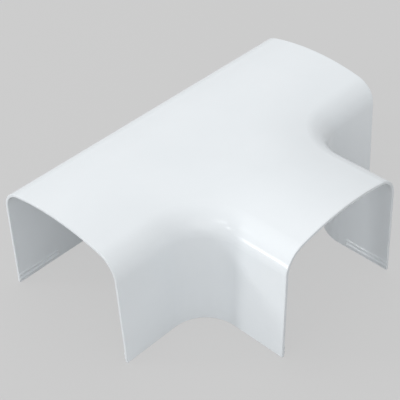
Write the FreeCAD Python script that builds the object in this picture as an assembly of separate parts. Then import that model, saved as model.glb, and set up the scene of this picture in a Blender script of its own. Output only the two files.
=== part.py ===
import FreeCAD, Part
import math
import os

# Clip-over tee cover for plastic trunking with an arched crown: one moulded piece,
# open below, with three open mouths. Millimetres.
# The run lies along X, the branch goes towards -Y, and the foot rim stands on z = 0.
# The origin is where the middle planes of run and branch cross, at the height of the foot.

# Room inside for the trunking
inside_width = 80.8     # at the foot, across the run and across the branch
inside_height = 66.7    # from the foot to the underside of the crown
inside_shoulder = 12.0  # radius where wall and crown meet
inside_crown = 135.0    # radius of the gently arched crown
draft_angle = 1.85      # degrees that each wall leans inwards

# Outside
wall = 1.6              # wall thickness, the same all over
run_length = 189.0      # from mouth to mouth
branch_reach = 94.2     # from the run's middle plane to the branch's mouth
corner_radius = 20.5    # in plan, of the two corners beside the branch, at the foot

# Two snap beads, one above the other, on the inside of both walls at each mouth
upper_bead_centre = 5.4  # height of its middle above the foot
lower_bead_centre = 2.6
bead_height = 2.2        # of each bead, along the wall
bead_depth = 0.5         # how far each stands in from the wall
bead_blend_radius = 0.5  # of the hollows that blend them into the wall
bead_setback = 5.5       # between the beads' inner ends and the start of a corner

# Moulded edges
mouth_rounding = 0.4    # radius of the rounded edges around the mouths
rounding_ratio = 1.25   # of the foot rim's rounding to the mouths', which has to run around it

tolerance = 0.001       # lengths below this count as nothing

# Worked out from the sizes above
draft = math.radians(draft_angle)
foot_rounding = rounding_ratio * mouth_rounding
outside_half_width = inside_width / 2 + wall / math.cos(draft)
corner_axis = outside_half_width + corner_radius
run_mouth = run_length / 2
run_bead_length = run_mouth - corner_axis - bead_setback
branch_bead_length = branch_reach - corner_axis - bead_setback

ORIGIN = FreeCAD.Vector(0, 0, 0)
X = FreeCAD.Vector(1, 0, 0)
Y = FreeCAD.Vector(0, 1, 0)
Z = FreeCAD.Vector(0, 0, 1)

# In a half-section, Y points outwards from the middle plane and Z points up.
UP_WALL = FreeCAD.Vector(0, -math.sin(draft), math.cos(draft))
OUT_OF_WALL = FreeCAD.Vector(0, math.cos(draft), math.sin(draft))


def unit(vector):
    return vector * (1 / vector.Length)


def line(start, end):
    return Part.LineSegment(start, end).toShape()


def arc(start, end, centre):
    """The shorter arc from start to end about centre."""
    radius = (start - centre).Length
    middle = centre + unit((start - centre) + (end - centre)) * radius
    return Part.Arc(start, middle, end).toShape()


def shoulder_centre():
    """Centre of the shoulder, which touches the inner wall line and the inner crown arc."""
    crown_centre = Z * (inside_height - inside_crown)
    foot = Y * (inside_width / 2) - OUT_OF_WALL * inside_shoulder
    offset = foot - crown_centre
    along = offset.dot(UP_WALL)
    rest = offset.dot(offset) - (inside_crown - inside_shoulder) ** 2
    return foot + UP_WALL * (math.sqrt(along ** 2 - rest) - along)


def profile_joints(offset):
    """Where wall, shoulder and crown join, on the line that is offset outwards from the inside."""
    shoulder = shoulder_centre()
    crown_centre = Z * (inside_height - inside_crown)
    on_wall = shoulder + OUT_OF_WALL * (inside_shoulder + offset)
    on_crown = crown_centre + unit(shoulder - crown_centre) * (inside_crown + offset)
    peak = Z * (inside_height + offset)
    return on_wall, shoulder, on_crown, crown_centre, peak


def foot_edges():
    """The foot rim between its two rounded edges, with the points where it meets the walls."""
    slope = math.sin(draft)
    spread = math.cos(draft)
    outer = FreeCAD.Vector(0, outside_half_width - foot_rounding * (1 + slope) / spread, foot_rounding)
    inner = FreeCAD.Vector(0, inside_width / 2 + foot_rounding * (1 - slope) / spread, foot_rounding)
    outer_wall = outer + OUT_OF_WALL * foot_rounding
    inner_wall = inner - OUT_OF_WALL * foot_rounding
    outer_foot = outer - Z * foot_rounding
    inner_foot = inner - Z * foot_rounding
    rim = [
        arc(outer_wall, outer_foot, outer),
        line(outer_foot, inner_foot),
        arc(inner_foot, inner_wall, inner),
    ]
    return outer_wall, rim, inner_wall


def bead_edges(centre):
    """A bead on the inner wall: hollow blend, rounded ridge, hollow blend."""
    half = bead_height / 2
    turn = 2 * math.atan(bead_depth / half)
    ridge = half / math.sin(turn) - bead_blend_radius
    middle = Y * (inside_width / 2) + UP_WALL * (centre / math.cos(draft))
    low = middle - UP_WALL * half
    high = middle + UP_WALL * half
    low_centre = low - OUT_OF_WALL * bead_blend_radius
    high_centre = high - OUT_OF_WALL * bead_blend_radius
    ridge_centre = middle + OUT_OF_WALL * (ridge - bead_depth)
    low_join = low_centre + unit(ridge_centre - low_centre) * bead_blend_radius
    high_join = high_centre + unit(ridge_centre - high_centre) * bead_blend_radius
    edges = [
        arc(low, low_join, low_centre),
        arc(low_join, high_join, ridge_centre),
        arc(high_join, high, high_centre),
    ]
    return low, edges, high


def half_section(beaded):
    """Face of one half of the arch, in the YZ plane, from the peak at Y = 0 out to the wall."""
    outer_wall, rim, inner_wall = foot_edges()
    wall_top, shoulder, crown_end, crown_centre, peak = profile_joints(wall)
    edges = [
        arc(peak, crown_end, crown_centre),
        arc(crown_end, wall_top, shoulder),
        line(wall_top, outer_wall),
    ]
    edges += rim
    wall_top, shoulder, crown_end, crown_centre, under_peak = profile_joints(0)
    if beaded:
        low, lower, low_top = bead_edges(lower_bead_centre)
        high_foot, upper, high = bead_edges(upper_bead_centre)
        edges += [line(inner_wall, low)] + lower + [line(low_top, high_foot)] + upper + [line(high, wall_top)]
    else:
        edges.append(line(inner_wall, wall_top))
    edges += [
        arc(wall_top, crown_end, shoulder),
        arc(crown_end, under_peak, crown_centre),
        line(under_peak, peak),
    ]
    return Part.Face(Part.Wire(edges))


def run_half(start_of_plain):
    """Half arch of the run, on the +Y side, from the left mouth as far as start_of_plain."""
    beaded = half_section(True).extrude(X * run_bead_length)
    beaded.translate(X * -run_mouth)
    plain = half_section(False).extrude(X * (start_of_plain + run_mouth - run_bead_length))
    plain.translate(X * (run_bead_length - run_mouth))
    return [beaded, plain]


def branch_half():
    """Half arch of the branch, on the -X side, from its mouth to the corner."""
    beaded = half_section(True).extrude(X * -branch_bead_length)
    beaded.translate(X * branch_reach)
    plain = half_section(False).extrude(X * (branch_reach - branch_bead_length - corner_axis))
    plain.translate(X * corner_axis)
    pieces = [beaded, plain]
    for piece in pieces:
        piece.rotate(ORIGIN, Z, -90)
    return [piece.mirror(ORIGIN, X) for piece in pieces]


def corner():
    """The arch swept through a quarter turn, from the run's front wall into the branch's wall."""
    face = half_section(False).mirror(ORIGIN, Y)
    face.translate(X * -corner_axis)
    axis_point = FreeCAD.Vector(-corner_axis, -corner_axis, 0)
    return face.revolve(axis_point, Z, -90)


def middle_plate():
    """The level part of the crown, between the peak lines of run, corner and branch."""
    top = Z * inside_height
    left = top - X * corner_axis
    front = top - Y * corner_axis
    centre = top - X * corner_axis - Y * corner_axis
    outline = Part.Wire([line(left, top), line(top, front), arc(front, left, centre)])
    return Part.Face(outline).extrude(Z * wall)


def left_half():
    """Everything on the -X side of the branch's middle plane."""
    back = run_half(0)
    front = [piece.mirror(ORIGIN, Y) for piece in run_half(-corner_axis)]
    return back + front + [corner(), middle_plate()] + branch_half()


def mouth_edges(shape):
    """The edges around the three mouths' end faces."""
    found = []
    for edge in shape.Edges:
        box = edge.BoundBox
        at_left = box.XMax + run_mouth < tolerance
        at_right = run_mouth - box.XMin < tolerance
        at_branch = box.YMax + branch_reach < tolerance
        if at_left or at_right or at_branch:
            found.append(edge)
    return found


def tee_cover():
    pieces = left_half()
    pieces += [piece.mirror(ORIGIN, X) for piece in pieces]
    cover = pieces[0].multiFuse(pieces[1:]).removeSplitter()
    return cover.makeFillet(mouth_rounding, mouth_edges(cover))


os.makedirs("parts", exist_ok=True)
shape = tee_cover()
shape.exportStep("parts/tee_cover.step")
box = shape.optimalBoundingBox(False, False)
print("tee_cover:", shape.ShapeType, "solids", len(shape.Solids), "faces", len(shape.Faces),
      "valid", shape.isValid(), "volume", round(shape.Volume, 1))
print("box:", round(box.XLength, 3), round(box.YLength, 3), round(box.ZLength, 3))
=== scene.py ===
import math

import bpy
from mathutils import Matrix, Vector


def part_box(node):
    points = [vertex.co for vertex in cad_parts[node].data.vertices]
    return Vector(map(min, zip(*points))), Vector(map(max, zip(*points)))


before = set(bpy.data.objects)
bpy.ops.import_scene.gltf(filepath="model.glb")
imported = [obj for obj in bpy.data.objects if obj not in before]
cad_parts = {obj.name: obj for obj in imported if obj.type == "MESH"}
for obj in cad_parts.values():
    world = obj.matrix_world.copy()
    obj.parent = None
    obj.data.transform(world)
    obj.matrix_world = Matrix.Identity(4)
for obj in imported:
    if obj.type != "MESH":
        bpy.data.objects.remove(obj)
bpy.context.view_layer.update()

# The camera stands where the photograph was taken from, looking at a point inside the cover
SENSOR_WIDTH = 36.0
LENS = 98.29
VIEW_TURN = math.radians(45.747)     # from +X towards +Y, of the direction that it looks in
VIEW_DROP = math.radians(39.843)     # below level
VIEW_ROLL = math.radians(-2.434)
VIEW_DISTANCE = 0.58354
LOOKS_AT = Vector((-0.001122, -0.000484, 0.021))
NEAREST_SEEN = 0.01
FARTHEST_SEEN = 50

# Floor
FLOOR_SIZE = 6.0
FLOOR_COLOUR = (0.42, 0.42, 0.42, 1)
FLOOR_ROUGHNESS = 0.9
FLOOR_TONE = (0.65, 0.65, 0.65, 1)   # the even tone that the camera and the gloss see
FLOOR_EVENNESS = 0.8                 # and its share, beside the lit paper's

# Moulded white plastic
PLASTIC_COLOUR = (0.800, 0.838, 0.866, 1)
PLASTIC_DULLER = (0.783, 0.822, 0.850, 1)
PLASTIC_END_SHADE = (0.704, 0.738, 0.763, 1)  # painted shade: a darker colour on the end faces around the mouths
PLASTIC_IOR = 1.5
ROUGHNESS_SMOOTH = 0.13
ROUGHNESS_DULL = 0.20
ROUGHNESS_END = 0.5
END_FULL = 0.0001                    # how far in from a mouth its end face's painted shade and roughness are whole
END_FADE = 0.0005                    # and where they have gone

# The plastic's unevenness, as noises: scale, levels of detail, roughness of the detail
CLOUD = (26.0, 3, 0.5)               # patches of about 40 mm
RIPPLE = (170.0, 2, 0.4)             # ripples of about 6 mm, as a mould's polish leaves them
GRAIN = (2400.0, 2, 0.5)             # specks of about 0.4 mm
TONE_CHANGES = (0.35, 0.65)          # between these values of the clouds
ROUGHNESS_CHANGES = (0.3, 0.7)
RIPPLE_DEPTH = 0.00003
GRAIN_DEPTH = 0.000004
BUMP_STRENGTH = 1.0

# Light
WORLD_COLOUR = (1, 1, 1, 1)
WORLD_STRENGTH = 0.470
GLOW_POWER = 6                       # how fast a glow falls off around its direction
GLOWS = (                            # degrees from +X towards +Y, degrees above level, strength
    (225, 15, 1.236),
    (120, 50, 0.426),
    (60, 50, 0.698),
    (300, 50, 0.492),
)
LAMPS_AIM = Vector((-0.06, -0.055, 0.05))
LAMPS = {                            # turn and elevation as above, distance, width, height, watts
    "key": (154.9, 0.6, 2.6, 0.24, 0.15, 9.5),
    "back_left": (130, 28, 1.8, 0.38, 0.30, 6.2),
    "left": (168, 17, 1.8, 0.22, 0.18, 1.2),
    "upper_left": (180, 38, 1.8, 0.50, 0.40, 1.5),
}


def add_camera():
    """A camera with its own roll, as the photograph's outlines ask for."""
    forward = Vector((
        math.cos(VIEW_TURN) * math.cos(VIEW_DROP),
        math.sin(VIEW_TURN) * math.cos(VIEW_DROP),
        -math.sin(VIEW_DROP),
    ))
    level_right = forward.cross(Vector((0, 0, 1))).normalized()
    level_up = level_right.cross(forward)
    right = level_right * math.cos(VIEW_ROLL) + level_up * math.sin(VIEW_ROLL)
    up = level_up * math.cos(VIEW_ROLL) - level_right * math.sin(VIEW_ROLL)
    data = bpy.data.cameras.new("camera")
    data.sensor_width = SENSOR_WIDTH
    data.lens = LENS
    data.clip_start = NEAREST_SEEN
    data.clip_end = FARTHEST_SEEN
    camera = bpy.data.objects.new("camera", data)
    camera.matrix_world = Matrix.Translation(LOOKS_AT - forward * VIEW_DISTANCE) @ Matrix((
        (right.x, up.x, -forward.x, 0),
        (right.y, up.y, -forward.y, 0),
        (right.z, up.z, -forward.z, 0),
        (0, 0, 0, 1),
    ))
    bpy.context.scene.collection.objects.link(camera)
    bpy.context.scene.camera = camera


class Nodes:
    """A node tree, and short ways to add to it."""

    def __init__(self, tree):
        self.tree = tree

    def node(self, kind):
        return self.tree.nodes.new(kind)

    def link(self, start, end):
        self.tree.links.new(start, end)

    def fill(self, socket, value):
        """Links another node's output to the socket, or sets a number or colour on it."""
        if isinstance(value, bpy.types.NodeSocket):
            self.link(value, socket)
        else:
            socket.default_value = value

    def maths(self, operation, first, second=0.0):
        node = self.node("ShaderNodeMath")
        node.operation = operation
        self.fill(node.inputs[0], first)
        self.fill(node.inputs[1], second)
        return node.outputs["Value"]


class Shading(Nodes):
    """A new material's nodes, around a Principled shader."""

    def __init__(self, name):
        self.material = bpy.data.materials.new(name)
        self.material.use_nodes = True
        super().__init__(self.material.node_tree)
        self.tree.nodes.clear()
        self.shader = self.node("ShaderNodeBsdfPrincipled")
        self.output = self.node("ShaderNodeOutputMaterial")
        self.link(self.shader.outputs["BSDF"], self.output.inputs["Surface"])

    def place(self):
        """Position in the cover's own coordinates."""
        return self.node("ShaderNodeTexCoord").outputs["Object"]

    def noise(self, scale, detail, roughness):
        """Noise in the cover's own coordinates, from 0 to 1."""
        noise = self.node("ShaderNodeTexNoise")
        noise.inputs["Scale"].default_value = scale
        noise.inputs["Detail"].default_value = detail
        noise.inputs["Roughness"].default_value = roughness
        self.link(self.place(), noise.inputs["Vector"])
        return noise.outputs["Fac"]

    def ramp(self, value, low, high, to_low, to_high):
        mapping = self.node("ShaderNodeMapRange")
        mapping.inputs["From Min"].default_value = low
        mapping.inputs["From Max"].default_value = high
        self.fill(mapping.inputs["To Min"], to_low)
        self.fill(mapping.inputs["To Max"], to_high)
        self.link(value, mapping.inputs["Value"])
        return mapping.outputs["Result"]

    def mix_colour(self, share, first, second):
        mix = self.node("ShaderNodeMix")
        mix.data_type = "RGBA"
        self.fill(mix.inputs["A"], first)
        self.fill(mix.inputs["B"], second)
        self.link(share, mix.inputs["Factor"])
        return mix.outputs["Result"]

    def mouth_ends(self):
        """1 on the end faces around the three mouths, falling to 0 over their rounded edges."""
        low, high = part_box("tee_cover")
        split = self.node("ShaderNodeSeparateXYZ")
        self.link(self.place(), split.inputs["Vector"])
        along_run = self.maths("ABSOLUTE", split.outputs["X"])
        run_end = self.ramp(along_run, high[0] - END_FADE, high[0] - END_FULL, 0, 1)
        branch_end = self.ramp(split.outputs["Y"], low[1] + END_FULL, low[1] + END_FADE, 1, 0)
        return self.maths("MAXIMUM", run_end, branch_end)

    def bump(self, height, depth, below=None):
        """The surface's direction with a height on it, over another such result."""
        bump = self.node("ShaderNodeBump")
        bump.inputs["Distance"].default_value = depth
        bump.inputs["Strength"].default_value = BUMP_STRENGTH
        self.link(height, bump.inputs["Height"])
        if below:
            self.link(below, bump.inputs["Normal"])
        return bump.outputs["Normal"]


def plastic_material():
    """Glossy white moulded plastic, slightly uneven in tone, gloss and polish, rougher on its ends, with
    painted shade darkening its end faces.
    """
    plastic = Shading("white_plastic")
    shader = plastic.shader
    shader.inputs["IOR"].default_value = PLASTIC_IOR
    cloud = plastic.noise(*CLOUD)
    ripple = plastic.noise(*RIPPLE)
    grain = plastic.noise(*GRAIN)
    ends = plastic.mouth_ends()
    duller = plastic.ramp(cloud, *TONE_CHANGES, 0, 1)
    tone = plastic.mix_colour(duller, PLASTIC_COLOUR, PLASTIC_DULLER)
    # painted shade: the end faces get a darker colour that stands in for the shade they lie in
    plastic.link(plastic.mix_colour(ends, tone, PLASTIC_END_SHADE), shader.inputs["Base Color"])
    roughness = plastic.ramp(cloud, *ROUGHNESS_CHANGES, ROUGHNESS_SMOOTH, ROUGHNESS_DULL)
    plastic.link(plastic.ramp(ends, 0, 1, roughness, ROUGHNESS_END), shader.inputs["Roughness"])
    rippled = plastic.bump(ripple, RIPPLE_DEPTH)
    plastic.link(plastic.bump(grain, GRAIN_DEPTH, rippled), shader.inputs["Normal"])
    return plastic.material


def floor_material():
    """Pale grey paper, evened out as the photograph's ground is, that keeps the cover's shadow."""
    paper = Shading("floor")
    shader = paper.shader
    shader.inputs["Base Color"].default_value = FLOOR_COLOUR
    shader.inputs["Roughness"].default_value = FLOOR_ROUGHNESS
    glow = paper.node("ShaderNodeEmission")
    glow.inputs["Color"].default_value = FLOOR_TONE
    path = paper.node("ShaderNodeLightPath")
    seen = paper.maths("MAXIMUM", path.outputs["Is Camera Ray"], path.outputs["Is Glossy Ray"])
    mix = paper.node("ShaderNodeMixShader")
    paper.link(paper.maths("MULTIPLY", seen, FLOOR_EVENNESS), mix.inputs[0])
    paper.link(shader.outputs["BSDF"], mix.inputs[1])
    paper.link(glow.outputs["Emission"], mix.inputs[2])
    paper.link(mix.outputs["Shader"], paper.output.inputs["Surface"])
    return paper.material


def add_floor():
    mesh = bpy.data.meshes.new("floor")
    half = FLOOR_SIZE / 2
    corners = [(-half, -half, 0), (half, -half, 0), (half, half, 0), (-half, half, 0)]
    mesh.from_pydata(corners, [], [(0, 1, 2, 3)])
    floor = bpy.data.objects.new("floor", mesh)
    bpy.context.scene.collection.objects.link(floor)
    mesh.materials.append(floor_material())


def towards(turn, elevation):
    """The direction given in degrees from +X towards +Y and above level."""
    turn = math.radians(turn)
    elevation = math.radians(elevation)
    return Vector((
        math.cos(turn) * math.cos(elevation),
        math.sin(turn) * math.cos(elevation),
        math.sin(elevation),
    ))


def add_lamp(name, turn, elevation, distance, width, height, watts):
    """A softbox in the direction given, which faces the cover and doesn't show itself to the camera."""
    data = bpy.data.lights.new(name, "AREA")
    data.shape = "RECTANGLE"
    data.size = width
    data.size_y = height
    data.energy = watts
    lamp = bpy.data.objects.new(name, data)
    away = towards(turn, elevation)
    lamp.location = LAMPS_AIM + away * distance
    lamp.rotation_mode = "QUATERNION"
    lamp.rotation_quaternion = (-away).to_track_quat("-Z", "Y")
    lamp.visible_camera = False
    bpy.context.scene.collection.objects.link(lamp)


def add_world():
    """Even light from everywhere, and soft glows around a few directions."""
    world = bpy.data.worlds.new("studio")
    world.use_nodes = True
    sky = Nodes(world.node_tree)
    background = sky.tree.nodes["Background"]
    background.inputs["Color"].default_value = WORLD_COLOUR
    direction = sky.node("ShaderNodeTexCoord").outputs["Generated"]
    total = WORLD_STRENGTH
    for turn, elevation, strength in GLOWS:
        facing = sky.node("ShaderNodeVectorMath")
        facing.operation = "DOT_PRODUCT"
        sky.link(direction, facing.inputs[0])
        facing.inputs[1].default_value = towards(turn, elevation)
        glow = sky.maths("MAXIMUM", facing.outputs["Value"], 0)
        glow = sky.maths("POWER", glow, GLOW_POWER)
        glow = sky.maths("MULTIPLY", glow, strength)
        total = sky.maths("ADD", glow, total)
    sky.link(total, background.inputs["Strength"])
    bpy.context.scene.world = world


def dress_cover():
    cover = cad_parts["tee_cover"]
    cover.data.materials.clear()
    cover.data.materials.append(plastic_material())


add_camera()
add_world()
add_floor()
for lamp_name, placing in LAMPS.items():
    add_lamp(lamp_name, *placing)
dress_cover()

bpy.context.scene.view_settings.view_transform = "Standard"
